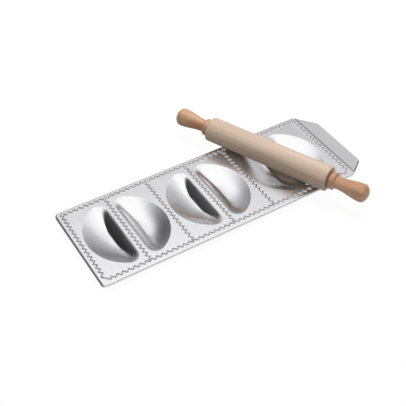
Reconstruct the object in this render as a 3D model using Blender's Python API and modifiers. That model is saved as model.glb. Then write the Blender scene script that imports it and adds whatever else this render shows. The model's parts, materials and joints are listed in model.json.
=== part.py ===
"""A ravioli mould: a pressed aluminium tray of half-moon cells, and its small wooden roller.

The tray is one pressed sheet. Zigzag ridges cut the pasta along the cell borders, each cell has
one half-moon dish, and a flap folds down at the right end. The roller lies across the ridges.
Its barrel turns on a steel rod that is fixed in two turned handles.

Units are metres, +Z up. The tray is modelled with its front left corner at x = 0, y = 0 and the
top of its deck at z = 0. Everything hangs from one empty, which then stands it on the origin.
"""

import math

import bmesh
import bpy
from mathutils import Matrix, Vector

# Tray, main sizes
SHEET = 0.0010            # thickness of the aluminium
CELL_COUNT = 6
CELL_PITCH = 0.048        # along the tray, centre to centre of the ridges
LAST_CELL_EXTRA = 0.0012  # the cell by the flap is this much longer along the tray
CELL_LENGTH = 0.0995      # across the tray, between the two long ridges
MARGIN = 0.006            # from the outer ridge's centre line to the edge of the tray
END_MARGIN = 0.0071       # from the last ridge's centre line to the end with the flap
CORNER_RADIUS = 0.0050
RIM_LEG = 0.0012          # straight part of the turned-down edge, below its bend
BEND_INSIDE = 0.0006      # inside radius of that bend

# Zigzag ridges
RIDGE_HEIGHT = 0.0013
RIDGE_FOOT = 0.0008       # half of the ridge's width at its foot, square to each stroke
TOOTH_PITCH = 0.0060      # aimed at, then evened out over each run
TOOTH_SWING = 0.0017      # the strokes reach this far to each side of the centre line
FRONT_CUT = 0.0050        # the ridges cut the two front corners off on a diagonal
BACK_CUT = 0.0005         # and the two back corners on a short one

# Half-moon dishes, two to each round outline
DISH_DEPTH = 0.0072
DISH_LAND = 0.0003        # flat sheet left between the ridge and the dish
LIP_LENGTH = 0.0017       # how far the rounded lip runs from the dish's true edge
BOWL_RADIUS = 0.108       # radius of the bowl's section
WEB_LAND = 0.00025        # flat sheet left on each side of the ridge on the web
WEB_ROUND = 0.0145        # radius of the rounded wall on the straight side
FOOT_WIDTH = 0.0041       # bottom of each dish, which the tray stands on
FOOT_EDGE = 0.0005        # band round the bottom, inside which it is truly flat
CORNER_FILLET = 0.0050    # fillet between the straight side and the round side

# Folded flap at the right end
FOLD_GROOVE_WIDTH = 0.0026
FOLD_GROOVE_DEPTH = 0.0012
FOLD_TURN = math.radians(65)   # the corners' arcs stop this far before the fold
FOLD_RELIEF = 0.0003      # notch at each end of the fold
FLAP_LENGTH = 0.0232      # along its slope, from the groove's middle
FLAP_TAPER = 0.0174       # each side draws in by this much towards the tip
FLAP_SLOPE = math.radians(13.7)
FLAP_LEG = 0.0010         # straight part of its own turned-down edge
FLAP_EDGE_START = 0.0030  # the turned edge starts this far out from the fold
FLAP_TIP_RADIUS = 0.0065

# Roller
BARREL_RADIUS = 0.0134
BARREL_LENGTH = 0.1460
BARREL_EDGE = 0.0007      # the barrel's rounded arrises
BARREL_BORE = 0.0040
ROD_RADIUS = 0.0030
ROD_CHAMFER = 0.0004
ROD_SEAT = 0.0300         # length of rod held in each handle
ROD_FIT = 0.00005         # clearance of the rod in the bushes
GLUE_GAP = 0.0001         # clearance of the rod in the handles
BUSH_RADIUS = 0.0050
BUSH_LENGTH = 0.0120
BUSH_FLANGE_RADIUS = 0.0070
BUSH_FLANGE = 0.0012
BUSH_GAP = 0.0001         # between a bush and its seat in the wood
WASHER_RADIUS = 0.0066
WASHER_THICKNESS = 0.0009
FACE_GAP = 0.0003         # between faces that touch
HANDLE_LENGTH = 0.0430
COLLAR_RADIUS = 0.0094
COLLAR_LENGTH = 0.0060
COLLAR_EDGE = 0.0014
NECK_RADIUS = 0.0067
NECK_AT = 0.0092          # from the collar's face
KNOB_RADIUS = 0.0098
KNOB_AT = 0.0362          # from the collar's face

# Where the roller lies, and how it is turned from the line of the cross ridges
ROLLER_CENTRE_X = 0.2289
ROLLER_CENTRE_Y = 0.0613
ROLLER_TURN = math.radians(24.3)

# Facets
BEND_STEPS = 3
CORNER_STEPS = 5
FLAP_CORNER_STEPS = 4
GROOVE_STEPS = 4
LIP_STEPS = 2
BOWL_STEPS = 4
ROUND_SIDE_STEPS = 14
FILLET_STEPS = 3
KNOB_STEPS = 5
WAIST_STEPS = 6
TURNED_STEPS = 28
BARREL_STEPS = 40

# Sizes that follow
TOOTH_SLANT = math.atan2(2 * TOOTH_SWING, TOOTH_PITCH / 2)
RIDGE_HALF_BAND = TOOTH_SWING + RIDGE_FOOT / math.cos(TOOTH_SLANT)
LAST_RIDGE_X = MARGIN + CELL_COUNT * CELL_PITCH + LAST_CELL_EXTRA
TRAY_LENGTH = LAST_RIDGE_X + END_MARGIN
TRAY_WIDTH = CELL_LENGTH + 2 * MARGIN
DISH_CENTRE_Y = MARGIN + CELL_LENGTH / 2
DISH_RADIUS = min(CELL_PITCH, CELL_LENGTH / 2) - RIDGE_HALF_BAND - DISH_LAND
WEB_HALF = RIDGE_HALF_BAND + WEB_LAND
BEND_OUTSIDE = SHEET + BEND_INSIDE
TRAY_CORNER = max(CORNER_RADIUS, BEND_OUTSIDE + SHEET)
FOLD_REACH = TRAY_CORNER - BEND_OUTSIDE
FOLD_X = TRAY_LENGTH - TRAY_CORNER + FOLD_REACH * math.cos(FOLD_TURN)
FOLD_END = TRAY_CORNER - FOLD_REACH * math.sin(FOLD_TURN) + FOLD_RELIEF
FLAP_CORNER = max(FLAP_TIP_RADIUS, BEND_OUTSIDE + SHEET)
ROUND_SHARE = 1 - math.sqrt(0.5)   # how far in a rounded edge's middle lies, per radius
ROLLER_GAP = WASHER_THICKNESS + 2 * FACE_GAP
ROLLER_HEIGHT = RIDGE_HEIGHT + FACE_GAP + BARREL_RADIUS


def colour(red, green, blue):
    """A linear colour from the 0 to 255 values that the eye reads off the object."""
    channels = []
    for value in (red, green, blue):
        share = value / 255
        linear = share / 12.92 if share <= 0.04045 else ((share + 0.055) / 1.055) ** 2.4
        channels.append(linear)
    return (*channels, 1.0)


def make_material(name, base_colour, roughness, metallic):
    material = bpy.data.materials.new(name)
    material.use_nodes = True
    shader = material.node_tree.nodes["Principled BSDF"]
    shader.inputs["Base Color"].default_value = base_colour
    shader.inputs["Roughness"].default_value = roughness
    shader.inputs["Metallic"].default_value = metallic
    material.diffuse_color = base_colour
    return material


def make_object(name, bm, material, parent, collection):
    """Turn a bmesh into a named object that hangs from the parent."""
    mesh = bpy.data.meshes.new(name)
    bm.to_mesh(mesh)
    bm.free()
    mesh.materials.append(material)
    made = bpy.data.objects.new(name, mesh)
    collection.objects.link(made)
    made.parent = parent
    return made


def make_empty(name, parent, collection):
    empty = bpy.data.objects.new(name, None)
    empty.empty_display_size = 0.02
    collection.objects.link(empty)
    empty.parent = parent
    return empty


def arc(centre, radius, start, end, steps):
    """Points along an arc, both ends included, as 2D vectors. The angles are in radians."""
    points = []
    for step in range(steps + 1):
        angle = start + (end - start) * step / steps
        points.append(Vector((centre[0] + radius * math.cos(angle),
                              centre[1] + radius * math.sin(angle))))
    return points


def offset_left(points, distance):
    """The closed outline moved to its left by the distance, with mitred corners."""
    moved = []
    for index, point in enumerate(points):
        before = (point - points[index - 1]).normalized()
        after = (points[(index + 1) % len(points)] - point).normalized()
        normal_before = Vector((-before.y, before.x))
        normal_after = Vector((-after.y, after.x))
        mitre = (normal_before + normal_after).normalized()
        moved.append(point + mitre * (distance / mitre.dot(normal_after)))
    return moved


# Tray: the sheet's top surface, built in one mesh and thickened at the end


class Sheet:
    """The open top surface of the pressed sheet. Points at the same place share a vertex."""

    def __init__(self):
        self.bm = bmesh.new()
        self.known = {}

    def vertex(self, x, y, z):
        key = (round(x, 7), round(y, 7), round(z, 7))
        if key not in self.known:
            self.known[key] = self.bm.verts.new((x, y, z))
        return self.known[key]

    def loop(self, points, z=0.0):
        return [self.vertex(point.x, point.y, z) for point in points]

    def face(self, *verts):
        self.bm.faces.new(verts)

    def strip(self, outer, inner, closed=True):
        """Quads between two rows of vertices that run the same way, inner on the left."""
        count = len(outer)
        for index in range(count if closed else count - 1):
            after = (index + 1) % count
            self.face(outer[index], outer[after], inner[after], inner[index])

    def fill(self, *loops):
        """Flat sheet inside the first loop and outside the others."""
        edges = []
        for loop in loops:
            for index, vert in enumerate(loop):
                after = loop[(index + 1) % len(loop)]
                edge = self.bm.edges.get((vert, after))
                edges.append(edge or self.bm.edges.new((vert, after)))
        bmesh.ops.triangle_fill(self.bm, use_beauty=True, use_dissolve=False,
                                edges=edges, normal=(0, 0, 1))


def tooth_line(start, end, start_lean, end_lean):
    """A zigzag whose first tooth leans to the left. Its two ends lean left by the sizes given."""
    along = end - start
    teeth = max(2, round(along.length / TOOTH_PITCH))
    step = along / (2 * teeth)
    left = Vector((-along.y, along.x)).normalized()
    points = [start + left * start_lean]
    for index in range(2 * teeth):
        side = TOOTH_SWING if index % 2 == 0 else -TOOTH_SWING
        points.append(start + step * (index + 0.5) + left * side)
    points.append(end + left * end_lean)
    return points


def chain(*lines):
    """Join lines that meet end to end into one closed outline."""
    outline = []
    for line in lines:
        for point in line:
            if not outline or (point - outline[-1]).length > 1e-6:
                outline.append(point)
    if (outline[0] - outline[-1]).length < 1e-6:
        outline.pop()
    return outline


def ridge_lines():
    """The ridges' centre lines: one across at each cell border, and the front and back runs."""
    last = CELL_COUNT
    front, back = MARGIN, MARGIN + CELL_LENGTH
    cross, front_runs, back_runs = [], [], []
    for index in range(CELL_COUNT + 1):
        front_cut, back_cut = (FRONT_CUT, BACK_CUT) if index in (0, last) else (0.0, 0.0)
        lean = {0: TOOTH_SWING, last: -TOOTH_SWING}.get(index, 0.0)
        x = LAST_RIDGE_X if index == last else MARGIN + index * CELL_PITCH
        cross.append(tooth_line(Vector((x, front + front_cut)), Vector((x, back - back_cut)),
                                lean, lean))
    for y, runs, end_cut, side in ((front, front_runs, FRONT_CUT, -1), (back, back_runs, BACK_CUT, 1)):
        for index in range(CELL_COUNT):
            first, final = index == 0, index == last - 1
            left = MARGIN + index * CELL_PITCH + end_cut * first
            right = LAST_RIDGE_X - end_cut if final else MARGIN + (index + 1) * CELL_PITCH
            lean = side * TOOTH_SWING
            runs.append(tooth_line(Vector((left, y)), Vector((right, y)),
                                   lean * first, lean * final))
    return cross, front_runs, back_runs


def add_ridge_side(sheet, outline):
    """One side of the ridge round a closed outline, down to its foot on the left."""
    crest = sheet.loop(outline, RIDGE_HEIGHT)
    foot = sheet.loop(offset_left(outline, RIDGE_FOOT))
    sheet.strip(crest, foot)
    return foot


def wall_reach(depth):
    """How far the rounded wall stands out from the web's centre line at a depth."""
    below = max(WEB_ROUND - depth, 0.0)
    return WEB_HALF + math.sqrt(WEB_ROUND ** 2 - below ** 2)


def dish_levels():
    """Radius and depth of the dish's round side, from its edge over the lip down to the foot."""
    foot_radius = wall_reach(DISH_DEPTH) + FOOT_WIDTH
    edge_radius = DISH_RADIUS - LIP_LENGTH
    chord = Vector((edge_radius - foot_radius, DISH_DEPTH))
    bowl_radius = max(BOWL_RADIUS, chord.length)
    half_turn = math.asin(chord.length / 2 / bowl_radius)
    slope_top = math.atan2(chord.y, chord.x) + half_turn
    slope_foot = slope_top - 2 * half_turn
    levels = []
    lip_radius = LIP_LENGTH / math.tan(slope_top / 2)
    for step in range(LIP_STEPS + 1):
        slope = slope_top * step / LIP_STEPS
        levels.append((DISH_RADIUS - lip_radius * math.sin(slope),
                       lip_radius * (1 - math.cos(slope))))
    past_lip = LIP_LENGTH / (2 * half_turn * bowl_radius)
    for step in range(1, BOWL_STEPS + 1):
        share = past_lip + (1 - past_lip) * step / BOWL_STEPS
        slope = slope_top + (slope_foot - slope_top) * share
        radius = foot_radius + bowl_radius * (math.sin(slope) - math.sin(slope_foot))
        depth = DISH_DEPTH - bowl_radius * (math.cos(slope_foot) - math.cos(slope))
        levels.append((radius, depth))
    return levels


def half_moon(radius, depth):
    """The outline of a dish at a depth: a straight side, a round side and two filleted corners."""
    straight = wall_reach(depth)
    fillet = min(CORNER_FILLET, (radius - straight) / 4)
    across = math.sqrt((radius - fillet) ** 2 - (straight + fillet) ** 2)
    turn = math.atan2(across, straight + fillet)
    lower = arc((straight + fillet, -across), fillet, math.pi, 2 * math.pi - turn, FILLET_STEPS)
    round_side = arc((0, 0), radius, -turn, turn, ROUND_SIDE_STEPS)
    upper = arc((straight + fillet, across), fillet, turn, math.pi, FILLET_STEPS)
    return lower + round_side[1:] + upper[1:]


def add_dish(sheet, index):
    """The half-moon dish of one cell. Cells lie in pairs, back to back on a shared ridge."""
    to_right = index % 2 == 1
    web_x = MARGIN + CELL_PITCH * (index if to_right else index + 1)
    rows = []
    for radius, depth in dish_levels():
        points = half_moon(radius, depth)
        if not to_right:
            points = [Vector((-point.x, point.y)) for point in reversed(points)]
        placed = [point + Vector((web_x, DISH_CENTRE_Y)) for point in points]
        rows.append(sheet.loop(placed, -depth))
    rows.append(sheet.loop(offset_left(placed, FOOT_EDGE), -DISH_DEPTH))
    for upper, lower in zip(rows, rows[1:]):
        sheet.strip(upper, lower)
    sheet.face(*rows[-1])
    return rows[0]


def tray_edge(inset):
    """The tray's edge drawn in by the inset, anticlockwise from the back end of the fold."""
    right, back = TRAY_LENGTH - TRAY_CORNER, TRAY_WIDTH - TRAY_CORNER
    quarter = math.pi / 2
    corners = [((right, back), FOLD_TURN, quarter),
               ((TRAY_CORNER, back), quarter, 2 * quarter),
               ((TRAY_CORNER, TRAY_CORNER), 2 * quarter, 3 * quarter),
               ((right, TRAY_CORNER), 3 * quarter, 4 * quarter - FOLD_TURN)]
    points = []
    for centre, start, end in corners:
        points += arc(centre, TRAY_CORNER - inset, start, end, CORNER_STEPS)
    return points


def bend_rows(leg):
    """Inset and drop of each row of an edge that is bent down, and of its straight leg's end."""
    rows = []
    for step in range(BEND_STEPS + 1):
        angle = math.pi / 2 * step / BEND_STEPS
        rows.append((BEND_OUTSIDE * (1 - math.sin(angle)), BEND_OUTSIDE * (1 - math.cos(angle))))
    rows.append((0.0, BEND_OUTSIDE + leg))
    return rows


def add_rim(sheet):
    """The turned-down edge all round the tray but for the fold. Gives the deck's open edge."""
    rows = [sheet.loop(tray_edge(inset), -drop) for inset, drop in bend_rows(RIM_LEG)]
    for inner, outer in zip(rows, rows[1:]):
        sheet.strip(outer, inner, closed=False)
    return rows[0]


def flap_point(along, y, drop=0.0):
    """A point on the sloping flap, measured along its slope from the middle of the fold."""
    x = FOLD_X + FOLD_GROOVE_WIDTH / 2 + along * math.cos(FLAP_SLOPE) - drop * math.sin(FLAP_SLOPE)
    z = -along * math.sin(FLAP_SLOPE) - drop * math.cos(FLAP_SLOPE)
    return x, y, z


def flap_edge(inset):
    """The flap's free edge drawn in by the inset, anticlockwise, as points along and across."""
    slant = math.atan2(FLAP_TAPER, FLAP_LENGTH)
    root = FOLD_END - BEND_OUTSIDE
    corner_along = FLAP_LENGTH - FLAP_CORNER
    corner_y = root + corner_along * math.tan(slant) + FLAP_CORNER / math.cos(slant)
    start_y = root + FLAP_EDGE_START * math.tan(slant) + inset / math.cos(slant)
    corner = arc((corner_along, corner_y), FLAP_CORNER - inset, slant - math.pi / 2, 0.0,
                 FLAP_CORNER_STEPS)
    near = [Vector((FLAP_EDGE_START, start_y)), *corner]
    far = [Vector((point.x, TRAY_WIDTH - point.y)) for point in reversed(near)]
    return near + far


def add_flap(sheet):
    """The fold's groove and the flap beyond it. Gives the two ends of the deck's folded edge."""
    near, far = FOLD_END, TRAY_WIDTH - FOLD_END
    end_x, _, end_z = flap_point(FOLD_GROOVE_WIDTH / 2, near)
    rows = []
    for step in range(GROOVE_STEPS + 1):
        share = step / GROOVE_STEPS
        x = FOLD_X + (end_x - FOLD_X) * share
        z = end_z * share - FOLD_GROOVE_DEPTH * math.sin(math.pi * share)
        rows.append([sheet.vertex(x, near, z), sheet.vertex(x, far, z)])
    for inner, outer in zip(rows, rows[1:]):
        sheet.face(inner[0], outer[0], outer[1], inner[1])
    edges = []
    for inset, drop in bend_rows(FLAP_LEG):
        points = [flap_point(point.x, point.y, drop) for point in flap_edge(inset)]
        edges.append([sheet.vertex(*point) for point in points])
    for inner, outer in zip(edges, edges[1:]):
        sheet.strip(outer, inner, closed=False)
    sheet.face(rows[-1][0], *edges[0], rows[-1][1])
    return rows[0]


def make_tray(material, parent, collection):
    sheet = Sheet()
    cross, front_runs, back_runs = ridge_lines()
    for index in range(CELL_COUNT):
        cell = chain(front_runs[index], cross[index + 1],
                     reversed(back_runs[index]), reversed(cross[index]))
        foot = add_ridge_side(sheet, cell)
        sheet.fill(foot, add_dish(sheet, index))
    round_all = chain(cross[0], *back_runs, reversed(cross[-1]),
                      *(reversed(run) for run in reversed(front_runs)))
    outer_foot = add_ridge_side(sheet, round_all)
    deck_edge = add_rim(sheet)
    fold_near, fold_far = add_flap(sheet)
    sheet.fill([*deck_edge, fold_near, fold_far], outer_foot)
    tray = make_object("mould_tray", sheet.bm, material, parent, collection)
    thickness = tray.modifiers.new("Sheet", "SOLIDIFY")
    thickness.thickness = SHEET
    thickness.offset = -1.0
    thickness.use_even_offset = True
    thickness.use_quality_normals = True
    return tray


# Roller: turned pieces, each modelled along its own Z axis


def turned(name, profile, steps, material, parent, collection, closed=False):
    """A turned piece from its profile of (radius, height) points, which runs down the outside."""
    bm = bmesh.new()
    verts = [bm.verts.new((radius, 0.0, height)) for radius, height in profile]
    for first, second in zip(verts, verts[1:]):
        bm.edges.new((first, second))
    if closed:
        bm.edges.new((verts[-1], verts[0]))
    made = make_object(name, bm, material, parent, collection)
    screw = made.modifiers.new("Turned", "SCREW")
    screw.steps = steps
    screw.render_steps = steps
    screw.use_merge_vertices = True
    screw.merge_threshold = 0.00001
    screw.use_smooth_shade = True
    return made


def barrel_profile():
    """The barrel's section: its outside, and the bore with a stepped seat at each end."""
    half = BARREL_LENGTH / 2
    bush_seat = BUSH_RADIUS + BUSH_GAP
    flange_seat = BUSH_FLANGE_RADIUS + BUSH_GAP
    seat_floor = half - BUSH_FLANGE - FACE_GAP
    bore_floor = half - BUSH_LENGTH - 2 * FACE_GAP
    rounding = ROUND_SHARE * BARREL_EDGE
    upper = [(BARREL_BORE, bore_floor), (bush_seat, bore_floor), (bush_seat, seat_floor),
             (flange_seat, seat_floor), (flange_seat, half), (BARREL_RADIUS - BARREL_EDGE, half),
             (BARREL_RADIUS - rounding, half - rounding), (BARREL_RADIUS, half - BARREL_EDGE)]
    lower = [(radius, -height) for radius, height in reversed(upper)]
    return upper + lower


def bush_profile():
    """A flanged bush with its flange face at height 0 and its sleeve below it."""
    bore = ROD_RADIUS + ROD_FIT
    return [(bore, 0.0), (BUSH_FLANGE_RADIUS, 0.0), (BUSH_FLANGE_RADIUS, -BUSH_FLANGE),
            (BUSH_RADIUS, -BUSH_FLANGE), (BUSH_RADIUS, -BUSH_LENGTH), (bore, -BUSH_LENGTH)]


def washer_profile():
    bore = ROD_RADIUS + FACE_GAP
    return [(bore, WASHER_THICKNESS), (WASHER_RADIUS, WASHER_THICKNESS), (WASHER_RADIUS, 0.0),
            (bore, 0.0)]


def rod_profile():
    half = BARREL_LENGTH / 2 + ROLLER_GAP + ROD_SEAT
    return [(0.0, half), (ROD_RADIUS - ROD_CHAMFER, half), (ROD_RADIUS, half - ROD_CHAMFER),
            (ROD_RADIUS, ROD_CHAMFER - half), (ROD_RADIUS - ROD_CHAMFER, -half), (0.0, -half)]


def handle_profile():
    """A handle with its collar's face at height 0: knob, waist, collar, and the rod's blind hole."""
    knob = [(0.0, HANDLE_LENGTH)]
    for step in range(1, KNOB_STEPS + 1):
        angle = math.pi / 2 * (1 - step / KNOB_STEPS)
        knob.append((KNOB_RADIUS * math.cos(angle),
                     KNOB_AT + (HANDLE_LENGTH - KNOB_AT) * math.sin(angle)))
    waist = []
    for step in range(1, WAIST_STEPS + 1):
        share = step / WAIST_STEPS
        swell = (1 + math.cos(math.pi * share)) / 2
        waist.append((NECK_RADIUS + (KNOB_RADIUS - NECK_RADIUS) * swell,
                      KNOB_AT + (NECK_AT - KNOB_AT) * share))
    face_radius = COLLAR_RADIUS - COLLAR_EDGE
    rounding = ROUND_SHARE * COLLAR_EDGE
    cove = ((NECK_RADIUS + face_radius) / 2, COLLAR_LENGTH + ROUND_SHARE * (NECK_AT - COLLAR_LENGTH))
    collar = [(face_radius, COLLAR_LENGTH),
              (COLLAR_RADIUS - rounding, COLLAR_LENGTH - rounding),
              (COLLAR_RADIUS, COLLAR_LENGTH - COLLAR_EDGE),
              (COLLAR_RADIUS, COLLAR_EDGE),
              (COLLAR_RADIUS - rounding, rounding),
              (face_radius, 0.0)]
    hole = ROD_RADIUS + GLUE_GAP
    hole_end = ROD_SEAT + FACE_GAP
    return [*knob, *waist, cove, *collar, (hole, 0.0), (hole, hole_end), (0.0, hole_end)]


def make_roller(wood, varnished_wood, steel, plastic, parent, collection):
    axis = make_empty("roller_axis", parent, collection)
    axis.location = (ROLLER_CENTRE_X, ROLLER_CENTRE_Y, ROLLER_HEIGHT)
    axis.rotation_euler = (math.pi / 2, 0.0, ROLLER_TURN)
    turned("roller_barrel", barrel_profile(), BARREL_STEPS, wood, axis, collection, closed=True)
    turned("axle_rod", rod_profile(), TURNED_STEPS, steel, axis, collection)
    face = BARREL_LENGTH / 2
    for end, sign in (("front", 1), ("back", -1)):
        bush = turned(f"bush_{end}", bush_profile(), TURNED_STEPS, plastic, axis, collection, True)
        washer = turned(f"washer_{end}", washer_profile(), TURNED_STEPS, steel, axis, collection,
                        True)
        handle = turned(f"handle_{end}", handle_profile(), TURNED_STEPS, varnished_wood, axis,
                        collection)
        heights = {bush: face, washer: face + FACE_GAP, handle: face + ROLLER_GAP}
        for piece, height in heights.items():
            piece.location = (0.0, 0.0, sign * height)
            piece.rotation_euler = (0.0 if sign > 0 else math.pi, 0.0, 0.0)


def stand_on_origin(root, collection):
    """Move the root so that the middle of the object's box stands on the origin."""
    bpy.context.view_layer.update()
    graph = bpy.context.evaluated_depsgraph_get()
    corners = []
    for piece in collection.objects:
        if piece.type == "MESH":
            shown = piece.evaluated_get(graph)
            mesh = shown.to_mesh()
            corners += [shown.matrix_world @ vert.co for vert in mesh.vertices]
            shown.to_mesh_clear()
    low = [min(point[side] for point in corners) for side in range(3)]
    high = [max(point[side] for point in corners) for side in range(3)]
    root.location = (-(low[0] + high[0]) / 2, -(low[1] + high[1]) / 2, -low[2])
    bpy.context.view_layer.update()


def main():
    for existing in list(bpy.data.objects):
        bpy.data.objects.remove(existing)
    collection = bpy.data.collections.new("ravioli_mould")
    bpy.context.scene.collection.children.link(collection)
    aluminium = make_material("aluminium", colour(226, 226, 228), 0.28, 1.0)
    beech = make_material("beech", colour(215, 196, 173), 0.55, 0.0)
    varnished = make_material("varnished_beech", colour(208, 170, 142), 0.35, 0.0)
    steel = make_material("steel", colour(170, 170, 172), 0.30, 1.0)
    nylon = make_material("nylon", colour(225, 222, 212), 0.45, 0.0)
    root = make_empty("mould_root", None, collection)
    make_tray(aluminium, root, collection)
    make_roller(beech, varnished, steel, nylon, root, collection)
    stand_on_origin(root, collection)


main()
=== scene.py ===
"""Looks of a ravioli mould: the pressed aluminium tray and its small wooden roller.

The tray is pressed again from the sizes of the solid one, with finer steps and rounded ridge
crests. Its dishes and the groove at its fold follow the photograph more closely than the solid's.
The roller's pieces are turned again with finer steps. Metres, +Z up.
"""

import json
import math

import bmesh
import bpy
from mathutils import Matrix, Vector


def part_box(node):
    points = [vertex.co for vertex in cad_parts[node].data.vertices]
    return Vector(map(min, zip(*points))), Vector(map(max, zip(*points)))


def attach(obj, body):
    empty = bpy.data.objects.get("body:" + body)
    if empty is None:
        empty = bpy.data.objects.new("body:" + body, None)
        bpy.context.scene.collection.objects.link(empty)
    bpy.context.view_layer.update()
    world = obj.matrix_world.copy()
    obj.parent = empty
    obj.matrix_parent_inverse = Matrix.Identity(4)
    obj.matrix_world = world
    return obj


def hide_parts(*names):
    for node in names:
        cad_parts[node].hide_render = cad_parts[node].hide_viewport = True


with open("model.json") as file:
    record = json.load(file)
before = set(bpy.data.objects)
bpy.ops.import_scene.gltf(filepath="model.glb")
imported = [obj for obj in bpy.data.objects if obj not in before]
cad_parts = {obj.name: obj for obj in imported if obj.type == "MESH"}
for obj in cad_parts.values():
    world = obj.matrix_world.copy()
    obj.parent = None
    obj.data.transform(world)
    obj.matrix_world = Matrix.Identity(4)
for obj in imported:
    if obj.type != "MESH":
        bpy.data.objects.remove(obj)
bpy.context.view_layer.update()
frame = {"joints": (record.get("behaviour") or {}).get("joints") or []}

# Tray, in its own frame: front left corner at x = 0, y = 0, top of the deck at z = 0
SHEET = 0.0010            # thickness of the aluminium
CELL_COUNT = 6
CELL_PITCH = 0.048        # along the tray, centre to centre of the ridges
LAST_CELL_EXTRA = 0.0012  # the cell by the flap is this much longer along the tray
CELL_LENGTH = 0.0995      # across the tray, between the two long ridges
MARGIN = 0.006            # from the outer ridge's centre line to the edge of the tray
END_MARGIN = 0.0071       # from the last ridge's centre line to the end with the flap
TRAY_CORNER = 0.0050      # radius of the tray's corners
RIM_LEG = 0.0012          # straight part of the turned-down edge, below its bend
BEND_INSIDE = 0.0006      # inside radius of that bend
SUPPORT = 0.00008         # narrow flat ring that keeps the shading of the deck flat

# Zigzag ridges
RIDGE_HEIGHT = 0.0013
RIDGE_FOOT = 0.0008       # half of the ridge's width at its foot, square to each stroke
TOOTH_PITCH = 0.0060      # aimed at, then evened out over each run
TOOTH_SWING = 0.0017      # the strokes reach this far to each side of the centre line
FRONT_CUT = 0.0050        # the ridges cut the two front corners off on a diagonal
BACK_CUT = 0.0005         # and the two back corners on a short one
STROKE_PIECE = 0.0016     # the strokes are cut into pieces of about this length
SOFTENING = 0.3           # how far each point of a ridge moves to the middle of its neighbours

# Dishes. They lie in pairs, back to back, with a web of sheet between their straight walls
DISH_DEPTH = 0.0072
DISH_LAND = 0.0003        # flat sheet left between the ridge and the dish
DISH_NARROWING = 0.0008   # this much more is left where the round side faces a cross ridge
LIP_LENGTH = 0.0007       # how far the rounded lip runs in from the dish's edge
BOWL_SLOPES = (math.radians(25.0), math.radians(17.8), math.radians(2.0))  # lip, middle, foot
WEB_LAND = 0.00045        # flat sheet left on each side of the ridge on the web
WEB_ROUND = 0.0065        # radius of the straight wall's shoulder
WALL_SLOPE = math.radians(34.5)
WALL_TOE = 0.0039         # radius of the straight wall's foot
CORNER_TOP = 0.0115       # fillet between the straight and the round side, at the deck
CORNER_FOOT = 0.0030      # the same fillet at the dish's bottom
CORNER_FALL = 2           # power by which it shrinks on the way down
CORNER_ROOM = 0.25        # it takes up at most this share of the dish's width

# Fold and flap
FOLD_GROOVE_WIDTH = 0.0026
FOLD_GROOVE_DEPTH = 0.0008
GROOVE_SKEW = 2.1         # above 1, the groove's floor lies nearer to the flap
FOLD_TURN = math.radians(65)  # the corners' arcs stop this far before the fold
FOLD_RELIEF = 0.0003      # notch at each end of the fold
FLAP_LENGTH = 0.02315     # along its slope, from the groove's middle
FLAP_TAPER = 0.0174       # each side draws in by this much towards the tip
FLAP_SLOPE = math.radians(13.7)
FLAP_LEG = 0.0010         # straight part of its own turned-down edge
FLAP_EDGE_START = 0.0030  # the turned edge starts this far out from the fold
FLAP_CORNER = 0.0065      # radius of its two corners

# Roller
BARREL_RADIUS = 0.0134
BARREL_LENGTH = 0.1460
BARREL_EDGE = 0.0007      # the barrel's rounded arrises
BARREL_BORE = 0.0040
ROD_RADIUS = 0.0030
ROD_CHAMFER = 0.0004
ROD_SEAT = 0.0300         # length of rod held in each handle
ROD_FIT = 0.00005         # clearance of the rod in the bushes
GLUE_GAP = 0.0001         # clearance of the rod in the handles
BUSH_RADIUS = 0.0050
BUSH_LENGTH = 0.0120
BUSH_FLANGE_RADIUS = 0.0070
BUSH_FLANGE = 0.0012
BUSH_GAP = 0.0001         # between a bush and its seat in the wood
WASHER_RADIUS = 0.0066
WASHER_THICKNESS = 0.0009
FACE_GAP = 0.0003         # between faces that touch
HANDLE_LENGTH = 0.04298
COLLAR_RADIUS = 0.0094
COLLAR_LENGTH = 0.0060
COLLAR_EDGE = 0.0014
NECK_RADIUS = 0.0067
NECK_AT = 0.0092          # from the collar's face
KNOB_RADIUS = 0.0098
KNOB_AT = 0.0362          # from the collar's face

# Facets
BEND_STEPS = 8
CORNER_STEPS = 14
CREST_STEPS = 4
LIP_STEPS = 8
BOWL_STEPS = 30
ROUND_SIDE_STEPS = 72
FILLET_STEPS = 10
STRAIGHT_STEPS = 28
GROOVE_STEPS = 12
BARREL_EDGE_STEPS = 6
COLLAR_EDGE_STEPS = 8
COVE_STEPS = 8
WAIST_STEPS = 24
KNOB_STEPS = 16
TURNED_STEPS = 96
BARREL_STEPS = 128
TRAY_SHARP = math.radians(48)    # a fold sharper than this is shaded as an edge
TURNED_SHARP = math.radians(40)  # the same on a turned piece
SAME_POINT = 1e-6         # points of an outline that are nearer than this are one
SAME_DIGITS = 7           # vertices of the tray are one when they agree to these digits
MERGE_REACH = 0.00001     # vertices of a turned piece are one when they are this near

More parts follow.
